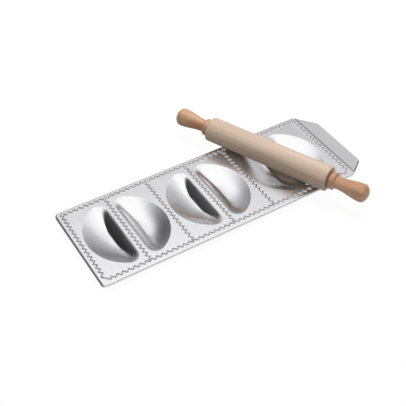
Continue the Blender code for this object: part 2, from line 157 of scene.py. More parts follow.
# Sizes that follow
TOOTH_SLANT = math.atan2(2 * TOOTH_SWING, TOOTH_PITCH / 2)
RIDGE_HALF_BAND = TOOTH_SWING + RIDGE_FOOT / math.cos(TOOTH_SLANT)
LAST_RIDGE_X = MARGIN + CELL_COUNT * CELL_PITCH + LAST_CELL_EXTRA
TRAY_LENGTH = LAST_RIDGE_X + END_MARGIN
TRAY_WIDTH = CELL_LENGTH + 2 * MARGIN
DISH_CENTRE_Y = MARGIN + CELL_LENGTH / 2
DISH_RADIUS = min(CELL_PITCH, CELL_LENGTH / 2) - RIDGE_HALF_BAND - DISH_LAND - DISH_NARROWING
DISH_STRETCH = (CELL_LENGTH / 2 - RIDGE_HALF_BAND - DISH_LAND) / DISH_RADIUS  # across the tray
WEB_HALF = RIDGE_HALF_BAND + WEB_LAND
BEND_OUTSIDE = SHEET + BEND_INSIDE
FOLD_REACH = TRAY_CORNER - BEND_OUTSIDE
FOLD_X = TRAY_LENGTH - TRAY_CORNER + FOLD_REACH * math.cos(FOLD_TURN)
FOLD_END = TRAY_CORNER - FOLD_REACH * math.sin(FOLD_TURN) + FOLD_RELIEF
ROLLER_GAP = WASHER_THICKNESS + 2 * FACE_GAP

TRAY_LOW, TRAY_HIGH = (Vector(corner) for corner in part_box("mould_tray"))
TRAY_ORIGIN = Vector((TRAY_LOW.x, TRAY_LOW.y, TRAY_HIGH.z - RIDGE_HEIGHT))
SPIN = next(joint for joint in frame["joints"] if joint["name"] == "barrel_spin")
AXIS_POINT = Vector(SPIN["pos_m"])
AXIS_TURN = Vector(SPIN["axis"]).to_track_quat("Z", "Y")

# Colours from 0 to 255, as the eye reads them
SHEET_TONES = (238, 238, 241), (247, 247, 249)
STEEL_TONES = (176, 176, 180), (206, 206, 208)
NYLON_TONES = (222, 218, 206), (232, 229, 220)
PLAIN_BEECH = (210, 191, 173), (194, 169, 145), (162, 132, 108)  # pale wood, deep wood, flecks
VARNISHED_BEECH = (211, 168, 134), (182, 131, 95), (138, 88, 57)

# Surfaces. Each roughness is a range, from the lows of its pattern to the highs
DECK_ROUGHNESS = 0.25, 0.31
DISH_ROUGHNESS = 0.12, 0.16
DRAWN_FROM, DRAWN_TO = -0.0002, -0.0050  # heights between which the deck's look becomes the dish's
WAVE_HEIGHT = 0.00012     # of the sheet's slow waves
MARK_HEIGHT = 0.000012    # of its rolling marks
STEEL_ROUGHNESS = 0.24, 0.36
NYLON_ROUGHNESS = 0.40, 0.52
NYLON_GLOW = 0.05         # light that passes under its skin
BARE_WOOD_ROUGHNESS = 0.47, 0.59
VARNISHED_ROUGHNESS = 0.37, 0.49
VARNISH = 0.40            # weight of the clear coat
VARNISH_ROUGHNESS = 0.20
VARNISH_INDEX = 1.7
GRAIN_HEIGHT = 0.00006

# Camera. Its lens and its sensor are in millimetres
CAMERA_AT = Vector((-0.33172, -0.51409, 0.58356))
CAMERA_AIM = Vector((-0.02358, -0.01506, 0.00820))
CAMERA_LENS = 70.87
SENSOR = 36.0
CLIP_START = 0.01         # nothing nearer is seen

# Floor
FLOOR_REACH = 6.0         # from its middle to each of its edges
FLOOR_PAPER = 0.40        # grey of the paper that takes the shadow
FLOOR_GLOW = 0.86         # share of even glow in what is seen of it, the rest being that paper
FLOOR_WHITE = 1.10        # the glow as the camera sees it
FLOOR_FRONT = 0.85        # the glow that the metal mirrors in front of the tray
FLOOR_BEHIND = 0.12       # and beyond the tray's front edge
FLOOR_FADE = 0.002        # width of the change from the one to the other

# Surround: its light by the height of the way to it, and a dark flag by how near that way is to
# the flag's, both as (position, grey). The flag's low end is cut off, so that it hangs overhead
ALL_BUT_GLOSSY = "camera", "diffuse", "shadow", "transmission", "volume_scatter"
SURROUND_RADIUS = 1.3
SURROUND_FINENESS = 5     # times that the ball's faces are divided
SURROUND_LIFT = [(0.0, 0.11), (0.14, 0.17), (0.30, 0.24), (0.42, 0.35), (0.52, 0.43),
                 (0.60, 0.50), (0.64, 0.59), (0.69, 0.75), (0.76, 0.92), (0.90, 1.0)]
FLAG_WAY = (-0.819, 0.574, 0.0)
FLAG_SHADE = [(0.38, 1.0), (0.45, 0.80), (0.50, 0.62), (0.53, 0.46), (0.57, 0.31),
              (0.62, 0.19), (0.70, 0.10), (0.83, 0.05)]
FLAG_LOW_END = [(0.26, 0.0), (0.33, 1.0)]
SURROUND_POWER = 1.10
BOUNCED_POWER = 0.60      # for a mirrored ray that set out from something dull

# Card, key lamp and sky
CARD_AT = Vector((0.437, 0.195, 0.116))
CARD_AIM = Vector((0.17, 0.0, 0.0))
CARD_SIDE = 0.22
CARD_GLOW = 0.61
KEY_AT = Vector((0.35, 0.30, 0.95))
KEY_AIM = Vector((0.03, 0.0, 0.0))
KEY_SIZE = 0.7
KEY_POWER = 7.6
SKY_LIGHT = [(0.0, 0.26), (0.5, 0.52), (1.0, 0.76)]  # (position from below to above, strength)


# Small tools


def grey(value):
    """A linear grey."""
    return (value, value, value, 1.0)


def colour(red, green, blue):
    """A linear colour from the 0 to 255 values that the eye reads off the object."""
    channels = []
    for value in (red, green, blue):
        share = value / 255
        channels.append(share / 12.92 if share <= 0.04045 else ((share + 0.055) / 1.055) ** 2.4)
    return (*channels, 1.0)


def add_node(owner, kind, links=None, **settings):
    """A node of a material or the world. The links give its inputs: sockets or values."""
    tree = owner.node_tree
    node = tree.nodes.new(kind)
    for name, value in settings.items():
        setattr(node, name, value)
    for name, value in (links or {}).items():
        if isinstance(value, bpy.types.NodeSocket):
            tree.links.new(value, node.inputs[name])
        else:
            node.inputs[name].default_value = value
    return node


def ramp(owner, factor, stops):
    """A colour ramp from (position, grey) stops."""
    node = add_node(owner, "ShaderNodeValToRGB", {"Fac": factor})
    elements = node.color_ramp.elements
    while len(elements) < len(stops):
        elements.new(0.5)
    for element, (position, value) in zip(elements, stops):
        element.position = position
        element.color = grey(value)
    return node.outputs["Color"]


def spread(owner, pattern, low, high):
    """The middle range of a pattern, spread out between two greys."""
    return ramp(owner, pattern, [(0.3, low), (0.7, high)])


def own_place(owner):
    """The place in the object's own frame."""
    return add_node(owner, "ShaderNodeTexCoord").outputs["Object"]


def part_of(owner, vector, letter):
    """One of the three parts of a vector, X, Y or Z."""
    return add_node(owner, "ShaderNodeSeparateXYZ", {0: vector}).outputs[letter]


def noise(owner, scales, detail, distortion=0.0, on_axis=False):
    """Noise with its scales per metre, in the object's frame or along the roller's axis."""
    place = own_place(owner)
    if on_axis:
        place = add_node(owner, "ShaderNodeMapping",
                         {"Vector": place, "Location": AXIS_POINT,
                          "Rotation": AXIS_TURN.to_euler()},
                         vector_type="TEXTURE").outputs["Vector"]
    scaled = add_node(owner, "ShaderNodeVectorMath", {0: place, 1: scales},
                      operation="MULTIPLY").outputs["Vector"]
    return add_node(owner, "ShaderNodeTexNoise",
                    {"Vector": scaled, "Scale": 1.0, "Detail": detail,
                     "Distortion": distortion}).outputs["Fac"]


def mix(owner, factor, first, second, blend="MIX"):
    """A blend of two colours."""
    node = add_node(owner, "ShaderNodeMix", data_type="RGBA", blend_type=blend)
    tree = owner.node_tree
    for socket, value in zip((node.inputs[0], node.inputs[6], node.inputs[7]),
                             (factor, first, second)):
        if isinstance(value, bpy.types.NodeSocket):
            tree.links.new(value, socket)
        else:
            socket.default_value = value
    return node.outputs[2]


def maths(owner, operation, first, second):
    """The result of one sum on two numbers or sockets."""
    return add_node(owner, "ShaderNodeMath", {0: first, 1: second},
                    operation=operation).outputs["Value"]


def map_range(owner, value, from_min=0.0, from_max=1.0, to_min=0.0, to_max=1.0):
    """The value taken from one range to another, and held within it."""
    return add_node(owner, "ShaderNodeMapRange",
                    {"Value": value, "From Min": from_min, "From Max": from_max,
                     "To Min": to_min, "To Max": to_max}).outputs["Result"]


def bump(owner, pattern, height, strength=1.0, under=None):
    """A normal raised by a pattern, on top of the normal under it, if there is one."""
    links = {"Height": pattern, "Strength": strength, "Distance": height}
    if under is not None:
        links["Normal"] = under
    return add_node(owner, "ShaderNodeBump", links).outputs["Normal"]


def new_material(name, metallic=0.0):
    """A material and its shader."""
    material = bpy.data.materials.new(name)
    material.use_nodes = True
    shader = material.node_tree.nodes["Principled BSDF"]
    shader.inputs["Metallic"].default_value = metallic
    return material, shader


def join(owner, shader, **outputs):
    """Lead outputs to the shader's inputs, so that base_color goes to its Base Color."""
    for name, output in outputs.items():
        owner.node_tree.links.new(output, shader.inputs[name.replace("_", " ").title()])


def link(thing):
    """Put an object in the scene."""
    bpy.context.scene.collection.objects.link(thing)


def aim_at(thing, place, aim, front="-Z"):
    """Stand a thing at a place, with its front towards the aim."""
    thing.location = place
    thing.rotation_euler = (aim - place).to_track_quat(front, "Y").to_euler()


def finished(name, bm, material, kind, settings, sharp_angle):
    """A smooth shaded object from a bmesh, with its one modifier applied."""
    rough = bpy.data.meshes.new(name)
    bm.to_mesh(rough)
    bm.free()
    rough.materials.append(material)
    made = bpy.data.objects.new(name, rough)
    link(made)
    modifier = made.modifiers.new(kind.title(), kind)
    for key, value in settings.items():
        setattr(modifier, key, value)
    bpy.context.view_layer.update()
    graph = bpy.context.evaluated_depsgraph_get()
    made.data = bpy.data.meshes.new_from_object(made.evaluated_get(graph))
    made.data.name = name
    made.modifiers.clear()
    bpy.data.meshes.remove(rough)
    made.data.shade_smooth()
    made.data.set_sharp_from_angle(angle=sharp_angle)
    return made


# Materials


def aluminium():
    """Satin sheet with rolling marks, banded on the deck and more polished in the dishes."""
    material, shader = new_material("aluminium_sheet", metallic=1.0)
    marks = noise(material, scales=(1300.0, 26.0, 500.0), detail=4.0)
    clouds = noise(material, scales=(38.0, 38.0, 38.0), detail=2.0)
    bands = noise(material, scales=(420.0, 9.0, 420.0), detail=2.0)
    waves = noise(material, scales=(16.0, 11.0, 16.0), detail=1.0)
    drawn = map_range(material, part_of(material, own_place(material), "Z"),
                      from_min=DRAWN_FROM, from_max=DRAWN_TO)
    tone = mix(material, marks, *(colour(*shade) for shade in SHEET_TONES))
    deck_bands = ramp(material, bands, [(0.36, 0.94), (0.62, 1.0)])
    banded = mix(material, drawn, deck_bands, grey(1.0))
    join(material, shader,
         base_color=mix(material, 1.0, tone, banded, "MULTIPLY"),
         roughness=mix(material, drawn, spread(material, clouds, *DECK_ROUGHNESS),
                       spread(material, clouds, *DISH_ROUGHNESS)),
         normal=bump(material, marks, MARK_HEIGHT, under=bump(material, waves, WAVE_HEIGHT)))
    return material


def wood(name, tones, roughness, coat):
    """Turned beech with its grain along the piece: growth bands, fine streaks and short flecks."""
    material, shader = new_material(name)
    pale, deep, fleck = (colour(*shade) for shade in tones)
    bands = noise(material, scales=(170.0, 170.0, 7.0), detail=3.0, distortion=0.6, on_axis=True)
    streaks = noise(material, scales=(1100.0, 1100.0, 24.0), detail=4.0, on_axis=True)
    flecks = noise(material, scales=(2100.0, 2100.0, 260.0), detail=2.0, on_axis=True)
    tone = mix(material, ramp(material, bands, [(0.36, 0.0), (0.66, 1.0)]), pale, deep)
    tone = mix(material, ramp(material, streaks, [(0.35, 0.0), (0.75, 0.45)]), tone, deep)
    tone = mix(material, ramp(material, flecks, [(0.62, 0.0), (0.72, 0.55)]), tone, fleck)
    join(material, shader, base_color=tone, roughness=spread(material, streaks, *roughness),
         normal=bump(material, streaks, GRAIN_HEIGHT, strength=0.5))
    shader.inputs["Coat Weight"].default_value = coat
    shader.inputs["Coat Roughness"].default_value = VARNISH_ROUGHNESS
    shader.inputs["Coat IOR"].default_value = VARNISH_INDEX
    return material


def steel():
    """Turned steel with fine rings."""
    material, shader = new_material("turned_steel", metallic=1.0)
    rings = noise(material, scales=(60.0, 60.0, 9000.0), detail=2.0, on_axis=True)
    join(material, shader, roughness=spread(material, rings, *STEEL_ROUGHNESS),
         base_color=mix(material, rings, *(colour(*shade) for shade in STEEL_TONES)))
    return material


def nylon():
    """Moulded plastic, slightly mottled."""
    material, shader = new_material("moulded_nylon")
    mottle = noise(material, scales=(420.0, 420.0, 420.0), detail=3.0)
    join(material, shader, roughness=spread(material, mottle, *NYLON_ROUGHNESS),
         base_color=mix(material, mottle, *(colour(*shade) for shade in NYLON_TONES)))
    shader.inputs["Subsurface Weight"].default_value = NYLON_GLOW
    return material


# Tray


def arc(centre, radius, start, end, steps):
    """Points along an arc, both ends included, as 2D vectors. The angles are in radians."""
    points = []
    for step in range(steps + 1):
        angle = start + (end - start) * step / steps
        points.append(Vector((centre[0] + radius * math.cos(angle),
                              centre[1] + radius * math.sin(angle))))
    return points


def offset_left(points, distance):
    """The closed outline moved to its left by the distance, with mitred corners."""
    moved = []
    for index, point in enumerate(points):
        before = (point - points[index - 1]).normalized()
        after = (points[(index + 1) % len(points)] - point).normalized()
        normal_before = Vector((-before.y, before.x))
        normal_after = Vector((-after.y, after.x))
        mitre = (normal_before + normal_after).normalized()
        moved.append(point + mitre * (distance / mitre.dot(normal_after)))
    return moved


class Sheet:
    """The open top surface of the pressed sheet. Points at the same place share a vertex."""

    def __init__(self):
        self.bm = bmesh.new()
        self.known = {}   # vertex at each place
        self.ridge = {}   # vertices of the ridges above their foot, in order

    def vertex(self, x, y, z):
        """The vertex at a place, made where there is none yet."""
        key = tuple(round(value, SAME_DIGITS) for value in (x, y, z))
        if key not in self.known:
            self.known[key] = self.bm.verts.new((x, y, z))
        return self.known[key]

    def loop(self, points, z=0.0):
        """The vertices at the points, all at one height."""
        return [self.vertex(point.x, point.y, z) for point in points]

    def face(self, *verts):
        """A face, with its corners anticlockwise from above."""
        self.bm.faces.new(verts)

    def strip(self, outer, inner, closed=True):
        """Quads between two rows of vertices that run the same way, inner on the left."""
        count = len(outer)
        for index in range(count if closed else count - 1):
            after = (index + 1) % count
            self.face(outer[index], outer[after], inner[after], inner[index])

    def fill(self, *loops):
        """Flat sheet inside the first loop and outside the others."""
        edges = []
        for loop in loops:
            for index, vert in enumerate(loop):
                after = loop[(index + 1) % len(loop)]
                edge = self.bm.edges.get((vert, after))
                edges.append(edge or self.bm.edges.new((vert, after)))
        bmesh.ops.triangle_fill(self.bm, use_beauty=True, use_dissolve=False,
                                edges=edges, normal=(0, 0, 1))


def tooth_line(start, end, start_lean, end_lean):
    """A zigzag whose first tooth leans to the left. Its two ends lean left by the sizes given."""
    along = end - start
    teeth = max(2, round(along.length / TOOTH_PITCH))
    step = along / (2 * teeth)
    left = Vector((-along.y, along.x)).normalized()
    tips = [start + left * start_lean]
    for index in range(2 * teeth):
        side = TOOTH_SWING if index % 2 == 0 else -TOOTH_SWING
        tips.append(start + step * (index + 0.5) + left * side)
    return [*tips, end + left * end_lean]


def chain(*lines):
    """Join lines that meet end to end into one closed outline."""
    outline = []
    for line in lines:
        for point in line:
            if not outline or (point - outline[-1]).length > SAME_POINT:
                outline.append(point)
    if (outline[0] - outline[-1]).length < SAME_POINT:
        outline.pop()
    return outline


def ridge_lines():
    """The ridges' centre lines: one across at each cell border, and the front and back runs."""
    last = CELL_COUNT
    front, back = MARGIN, MARGIN + CELL_LENGTH
    cross, front_runs, back_runs = [], [], []
    for index in range(CELL_COUNT + 1):
        front_cut, back_cut = (FRONT_CUT, BACK_CUT) if index in (0, last) else (0.0, 0.0)
        lean = {0: TOOTH_SWING, last: -TOOTH_SWING}.get(index, 0.0)
        x = LAST_RIDGE_X if index == last else MARGIN + index * CELL_PITCH
        cross.append(tooth_line(Vector((x, front + front_cut)), Vector((x, back - back_cut)),
                                lean, lean))
    long_sides = ((front, front_runs, FRONT_CUT, -1), (back, back_runs, BACK_CUT, 1))
    for y, runs, end_cut, side in long_sides:
        for index in range(CELL_COUNT):
            first, final = index == 0, index == last - 1
            left = MARGIN + index * CELL_PITCH + end_cut * first
            right = LAST_RIDGE_X - end_cut if final else MARGIN + (index + 1) * CELL_PITCH
            lean = side * TOOTH_SWING
            runs.append(tooth_line(Vector((left, y)), Vector((right, y)),
                                   lean * first, lean * final))
    return cross, front_runs, back_runs


def cut_strokes(moved, outline):
    """A moved outline with each stroke cut into equal pieces, as many as in the first outline."""
    points = []
    for index, point in enumerate(moved):
        after = (index + 1) % len(moved)
        cuts = max(1, round((outline[after] - outline[index]).length / STROKE_PIECE))
        low, high = sorted((point, moved[after]), key=tuple)
        for cut in range(cuts):
            points.append(low.lerp(high, (cut if low == point else cuts - cut) / cuts))
    return points


def add_ridge_side(sheet, outline):
    """One side of the ridge round a closed outline, with a rounded crest, down to its foot."""
    rows = []
    for step in range(CREST_STEPS + 1):
        share = step / CREST_STEPS
        height = RIDGE_HEIGHT * (1 + math.cos(math.pi * share)) / 2
        moved = offset_left(outline, RIDGE_FOOT * share)
        row = sheet.loop(cut_strokes(moved, outline), height)
        rows.append(row)
        if step < CREST_STEPS:
            sheet.ridge.update(dict.fromkeys(row))
    moved = offset_left(outline, RIDGE_FOOT + SUPPORT)
    rows.append(sheet.loop(cut_strokes(moved, outline)))
    for outer, inner in zip(rows, rows[1:]):
        sheet.strip(outer, inner)
    return rows[-1]


def wall_reach(depth):
    """How far the straight wall stands out from the web's centre line at a depth."""
    shoulder_depth = WEB_ROUND * (1 - math.cos(WALL_SLOPE))
    toe_top = DISH_DEPTH - WALL_TOE * (1 - math.cos(WALL_SLOPE))
    if depth < shoulder_depth:
        return WEB_HALF + math.sqrt(WEB_ROUND ** 2 - (WEB_ROUND - depth) ** 2)
    reach = WEB_HALF + WEB_ROUND * math.sin(WALL_SLOPE)
    reach += (min(depth, toe_top) - shoulder_depth) / math.tan(WALL_SLOPE)
    if depth > toe_top:
        above = WALL_TOE - (DISH_DEPTH - depth)
        reach += WALL_TOE * math.sin(WALL_SLOPE) - math.sqrt(WALL_TOE ** 2 - above ** 2)
    return reach


def bowl_slope(share):
    """Slope of the dish's round side, from the inside of its lip, 0, to its foot, 1.

    It follows the parabola through the slopes at the lip, in the middle and at the foot.
    """
    lip, middle, foot = BOWL_SLOPES
    return (lip * (1 - share) * (1 - 2 * share) + middle * 4 * share * (1 - share)
            + foot * share * (2 * share - 1))


def dish_levels():
    """Radius and depth of the dish's round side, from its edge over the lip down to the foot."""
    lip_radius = LIP_LENGTH / math.sin(bowl_slope(0))
    levels = []
    for step in range(LIP_STEPS + 1):
        slope = bowl_slope(0) * step / LIP_STEPS
        levels.append((DISH_RADIUS - lip_radius * math.sin(slope),
                       lip_radius * (1 - math.cos(slope))))
    radius, depth = levels[-1]
    falls = [math.tan(bowl_slope((step + 0.5) / BOWL_STEPS)) for step in range(BOWL_STEPS)]
    run = (DISH_DEPTH - depth) / sum(falls)
    for fall in falls:
        radius, depth = radius - run, depth + run * fall
        levels.append((radius, min(depth, DISH_DEPTH)))
    return levels


def half_moon(radius, depth):
    """The outline of a dish at a depth: a straight side, a round side and two filleted corners."""
    straight = wall_reach(depth)
    fall = (1 - depth / DISH_DEPTH) ** CORNER_FALL
    fillet = min(CORNER_FOOT + (CORNER_TOP - CORNER_FOOT) * fall,
                 (radius - straight) * CORNER_ROOM)
    across = math.sqrt((radius - fillet) ** 2 - (straight + fillet) ** 2)
    turn = math.atan2(across, straight + fillet)
    lower = arc((straight + fillet, -across), fillet, math.pi, 2 * math.pi - turn, FILLET_STEPS)
    round_side = arc((0, 0), radius, -turn, turn, ROUND_SIDE_STEPS)
    upper = arc((straight + fillet, across), fillet, turn, math.pi, FILLET_STEPS)
    down = [Vector((straight, across * (1 - 2 * step / STRAIGHT_STEPS)))
            for step in range(1, STRAIGHT_STEPS)]
    return lower + round_side[1:] + upper[1:] + down


def add_dish(sheet, index):
    """The half-moon dish of one cell. Cells lie in pairs, back to back on a shared ridge."""
    to_right = index % 2 == 1
    web_x = MARGIN + CELL_PITCH * (index if to_right else index + 1)
    rows = []
    for radius, depth in dish_levels():
        points = half_moon(radius, depth)
        if not to_right:
            points = [Vector((-point.x, point.y)) for point in reversed(points)]
        placed = [Vector((web_x + point.x, DISH_CENTRE_Y + point.y * DISH_STRETCH))
                  for point in points]
        if not rows:
            rows.append(sheet.loop(offset_left(placed, -SUPPORT)))
        rows.append(sheet.loop(placed, -depth))
    rows.append(sheet.loop(offset_left(placed, SUPPORT), -DISH_DEPTH))
    for upper, lower in zip(rows, rows[1:]):
        sheet.strip(upper, lower)
    sheet.face(*rows[-1])
    return rows[0]


def tray_edge(inset):
    """The tray's edge drawn in by the inset, anticlockwise from the back end of the fold."""
    right, back = TRAY_LENGTH - TRAY_CORNER, TRAY_WIDTH - TRAY_CORNER
    quarter = math.pi / 2
    corners = [((right, back), FOLD_TURN, quarter),
               ((TRAY_CORNER, back), quarter, 2 * quarter),
               ((TRAY_CORNER, TRAY_CORNER), 2 * quarter, 3 * quarter),
               ((right, TRAY_CORNER), 3 * quarter, 4 * quarter - FOLD_TURN)]
    points = []
    for centre, start, end in corners:
        points += arc(centre, TRAY_CORNER - inset, start, end, CORNER_STEPS)
    return points


def bend_rows(leg):
    """Inset and drop of each row of an edge that is bent down, and of its straight leg's end."""
    rows = [(BEND_OUTSIDE + SUPPORT, 0.0)]
    for step in range(BEND_STEPS + 1):
        angle = math.pi / 2 * step / BEND_STEPS
        rows.append((BEND_OUTSIDE * (1 - math.sin(angle)), BEND_OUTSIDE * (1 - math.cos(angle))))
    rows.append((0.0, BEND_OUTSIDE + leg))
    return rows


def add_rim(sheet):
    """The turned-down edge all round the tray but for the fold. Gives the deck's open edge."""
    rows = [sheet.loop(tray_edge(inset), -drop) for inset, drop in bend_rows(RIM_LEG)]
    for inner, outer in zip(rows, rows[1:]):
        sheet.strip(outer, inner, closed=False)
    return rows[0]


def flap_point(along, y, drop=0.0):
    """A point on the sloping flap, measured along its slope from the middle of the fold."""
    x = FOLD_X + FOLD_GROOVE_WIDTH / 2 + along * math.cos(FLAP_SLOPE) - drop * math.sin(FLAP_SLOPE)
    z = -along * math.sin(FLAP_SLOPE) - drop * math.cos(FLAP_SLOPE)
    return x, y, z


def flap_edge(inset):
    """The flap's free edge drawn in by the inset, anticlockwise, as points along and across."""
    slant = math.atan2(FLAP_TAPER, FLAP_LENGTH)
    root = FOLD_END - BEND_OUTSIDE
    corner_along = FLAP_LENGTH - FLAP_CORNER
    corner_y = root + corner_along * math.tan(slant) + FLAP_CORNER / math.cos(slant)
    start_y = root + FLAP_EDGE_START * math.tan(slant) + inset / math.cos(slant)
    corner = arc((corner_along, corner_y), FLAP_CORNER - inset, slant - math.pi / 2, 0.0,
                 CORNER_STEPS)
    near = [Vector((FLAP_EDGE_START, start_y)), *corner]
    far = [Vector((point.x, TRAY_WIDTH - point.y)) for point in reversed(near)]
    return near + far


def add_flap(sheet):
    """The fold's groove and the flap beyond it. Gives the two ends of the deck's folded edge."""
    near, far = FOLD_END, TRAY_WIDTH - FOLD_END
    end_x, _, end_z = flap_point(FOLD_GROOVE_WIDTH / 2, near)
    rows = []
    for step in range(GROOVE_STEPS + 1):
        share = step / GROOVE_STEPS
        x = FOLD_X + (end_x - FOLD_X) * share
        swing = math.cos(2 * math.pi * share ** GROOVE_SKEW)
        z = end_z * share - FOLD_GROOVE_DEPTH * (1 - swing) / 2
        rows.append([sheet.vertex(x, near, z), sheet.vertex(x, far, z)])
    for inner, outer in zip(rows, rows[1:]):
        sheet.face(inner[0], outer[0], outer[1], inner[1])
    edges = []
    for inset, drop in bend_rows(FLAP_LEG):
        points = [flap_point(point.x, point.y, drop) for point in flap_edge(inset)]
        edges.append([sheet.vertex(*point) for point in points])
    for inner, outer in zip(edges, edges[1:]):
        sheet.strip(outer, inner, closed=False)
    sheet.face(rows[-1][0], *edges[0], rows[-1][1])
    return rows[0]


def soften(sheet):
    """Round off the zigzag's tips. Its foot, its height and the flat deck stay as they are."""
    moved = {}
    for vert in sheet.ridge:
        around = [edge.other_vert(vert).co for edge in vert.link_edges]
        middle = sum(around, Vector()) / len(around)
        moved[vert] = vert.co.lerp(middle, SOFTENING)
    for vert, place in moved.items():
        vert.co = place
    top = max(vert.co.z for vert in sheet.ridge)
    for vert in sheet.ridge:
        vert.co.z *= RIDGE_HEIGHT / top


def make_tray(material):
    """The whole tray: six cells, the ridges round them, the rim and the flap, made thick."""
    sheet = Sheet()
    cross, front_runs, back_runs = ridge_lines()
    for index in range(CELL_COUNT):
        cell = chain(front_runs[index], cross[index + 1],
                     reversed(back_runs[index]), reversed(cross[index]))
        foot = add_ridge_side(sheet, cell)
        sheet.fill(foot, add_dish(sheet, index))
    round_all = chain(cross[0], *back_runs, reversed(cross[-1]),
                      *(reversed(run) for run in reversed(front_runs)))
    outer_foot = add_ridge_side(sheet, round_all)
    deck_edge = add_rim(sheet)
    fold_near, fold_far = add_flap(sheet)
    sheet.fill([*deck_edge, fold_near, fold_far], outer_foot)
    soften(sheet)
    thickness = {"thickness": SHEET, "offset": -1.0, "use_even_offset": True,
                 "use_quality_normals": True}
    tray = finished("tray_sheet", sheet.bm, material, "SOLIDIFY", thickness, TRAY_SHARP)
    tray.matrix_world = Matrix.Translation(TRAY_ORIGIN)
    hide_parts("mould_tray")
    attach(tray, "tray")


# Roller


def round_corner(corner, before, after, radius):
    """The corner of a profile rounded off: points from the side before it to the side after."""
    corner = Vector(corner)
    back = (Vector(before) - corner).normalized()
    ahead = (Vector(after) - corner).normalized()
    half = back.angle(ahead) / 2
    reach = radius / math.tan(half)
    centre = corner + (back + ahead).normalized() * (radius / math.sin(half))
    start, end = corner + back * reach - centre, corner + ahead * reach - centre
    sweep = end.angle_signed(start)
    return [tuple(centre + Matrix.Rotation(sweep * step / BARREL_EDGE_STEPS, 2) @ start)
            for step in range(BARREL_EDGE_STEPS + 1)]


def rounded(profile, radii):
    """A profile with the corners named in radii, by their place in it, rounded off."""
    points = []
    for index, point in enumerate(profile):
        if index in radii:
            after = profile[(index + 1) % len(profile)]
            points += round_corner(point, profile[index - 1], after, radii[index])
        else:
            points.append(point)
    return points


def turned(name, profile, steps, material, body, node, height=0.0, flipped=False,
           closed=False):
    """A turned piece from its profile of (radius, height) points, which runs down the outside."""
    bm = bmesh.new()
    verts = [bm.verts.new((radius, 0.0, z)) for radius, z in profile]
    for first, second in zip(verts, verts[1:]):
        bm.edges.new((first, second))
    if closed:
        bm.edges.new((verts[-1], verts[0]))
    screw = {"steps": steps, "render_steps": steps, "use_merge_vertices": True,
             "merge_threshold": MERGE_REACH}
    axis = AXIS_TURN.to_matrix().to_4x4()
    place = Matrix.Translation(AXIS_POINT) @ axis @ Matrix.Translation((0, 0, height))
    if flipped:
        place = place @ Matrix.Rotation(math.pi, 4, "X")
    made = finished(name, bm, material, "SCREW", screw, TURNED_SHARP)
    made.data.transform(place)
    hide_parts(node)
    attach(made, body)


def barrel_profile():
    """The barrel's section: its outside, and the bore with a stepped seat at each end."""
    half = BARREL_LENGTH / 2
    bush_seat = BUSH_RADIUS + BUSH_GAP
    flange_seat = BUSH_FLANGE_RADIUS + BUSH_GAP
    seat_floor = half - BUSH_FLANGE - FACE_GAP
    bore_floor = half - BUSH_LENGTH - 2 * FACE_GAP
    upper = [(BARREL_BORE, bore_floor), (bush_seat, bore_floor), (bush_seat, seat_floor),
             (flange_seat, seat_floor), (flange_seat, half), (BARREL_RADIUS, half)]
    lower = [(radius, -height) for radius, height in reversed(upper)]
    edges = {len(upper) - 1: BARREL_EDGE, len(upper): BARREL_EDGE}
    return rounded(upper + lower, edges)


def bush_profile():
    """A bush, with the outer face of its flange at height 0."""
    bore = ROD_RADIUS + ROD_FIT
    return [(bore, 0.0), (BUSH_FLANGE_RADIUS, 0.0), (BUSH_FLANGE_RADIUS, -BUSH_FLANGE),
            (BUSH_RADIUS, -BUSH_FLANGE), (BUSH_RADIUS, -BUSH_LENGTH), (bore, -BUSH_LENGTH)]


def washer_profile():
    """A washer, with its face towards the barrel at height 0."""
    bore = ROD_RADIUS + FACE_GAP
    return [(bore, WASHER_THICKNESS), (WASHER_RADIUS, WASHER_THICKNESS), (WASHER_RADIUS, 0.0),
            (bore, 0.0)]


def rod_profile():
    """The rod, with its middle at height 0, and both ends chamfered."""
    half = BARREL_LENGTH / 2 + ROLLER_GAP + ROD_SEAT
    return [(0.0, half), (ROD_RADIUS - ROD_CHAMFER, half), (ROD_RADIUS, half - ROD_CHAMFER),
            (ROD_RADIUS, ROD_CHAMFER - half), (ROD_RADIUS - ROD_CHAMFER, -half), (0.0, -half)]


def handle_profile():
    """A handle with its collar's face at height 0: knob, waist, collar, and the rod's hole."""
    points = [(0.0, HANDLE_LENGTH)]
    for step in range(1, KNOB_STEPS + 1):
        angle = math.pi / 2 * (1 - step / KNOB_STEPS)
        points.append((KNOB_RADIUS * math.cos(angle),
                       KNOB_AT + (HANDLE_LENGTH - KNOB_AT) * math.sin(angle)))
    for step in range(1, WAIST_STEPS + 1):
        share = step / WAIST_STEPS
        swell = (1 + math.cos(math.pi * share)) / 2
        points.append((NECK_RADIUS + (KNOB_RADIUS - NECK_RADIUS) * swell,
                       KNOB_AT + (NECK_AT - KNOB_AT) * share))
    face_radius = COLLAR_RADIUS - COLLAR_EDGE
    for step in range(1, COVE_STEPS + 1):
        angle = math.pi / 2 * step / COVE_STEPS
        points.append((NECK_RADIUS + (face_radius - NECK_RADIUS) * (1 - math.cos(angle)),
                       NECK_AT + (COLLAR_LENGTH - NECK_AT) * math.sin(angle)))
    points += arc((face_radius, COLLAR_LENGTH - COLLAR_EDGE), COLLAR_EDGE, math.pi / 2, 0,
                  COLLAR_EDGE_STEPS)[1:]
    points += arc((face_radius, COLLAR_EDGE), COLLAR_EDGE, 0, -math.pi / 2,
                  COLLAR_EDGE_STEPS)
    hole = ROD_RADIUS + GLUE_GAP
    hole_end = ROD_SEAT + FACE_GAP
    return [*points, (hole, 0.0), (hole, hole_end), (0.0, hole_end)]


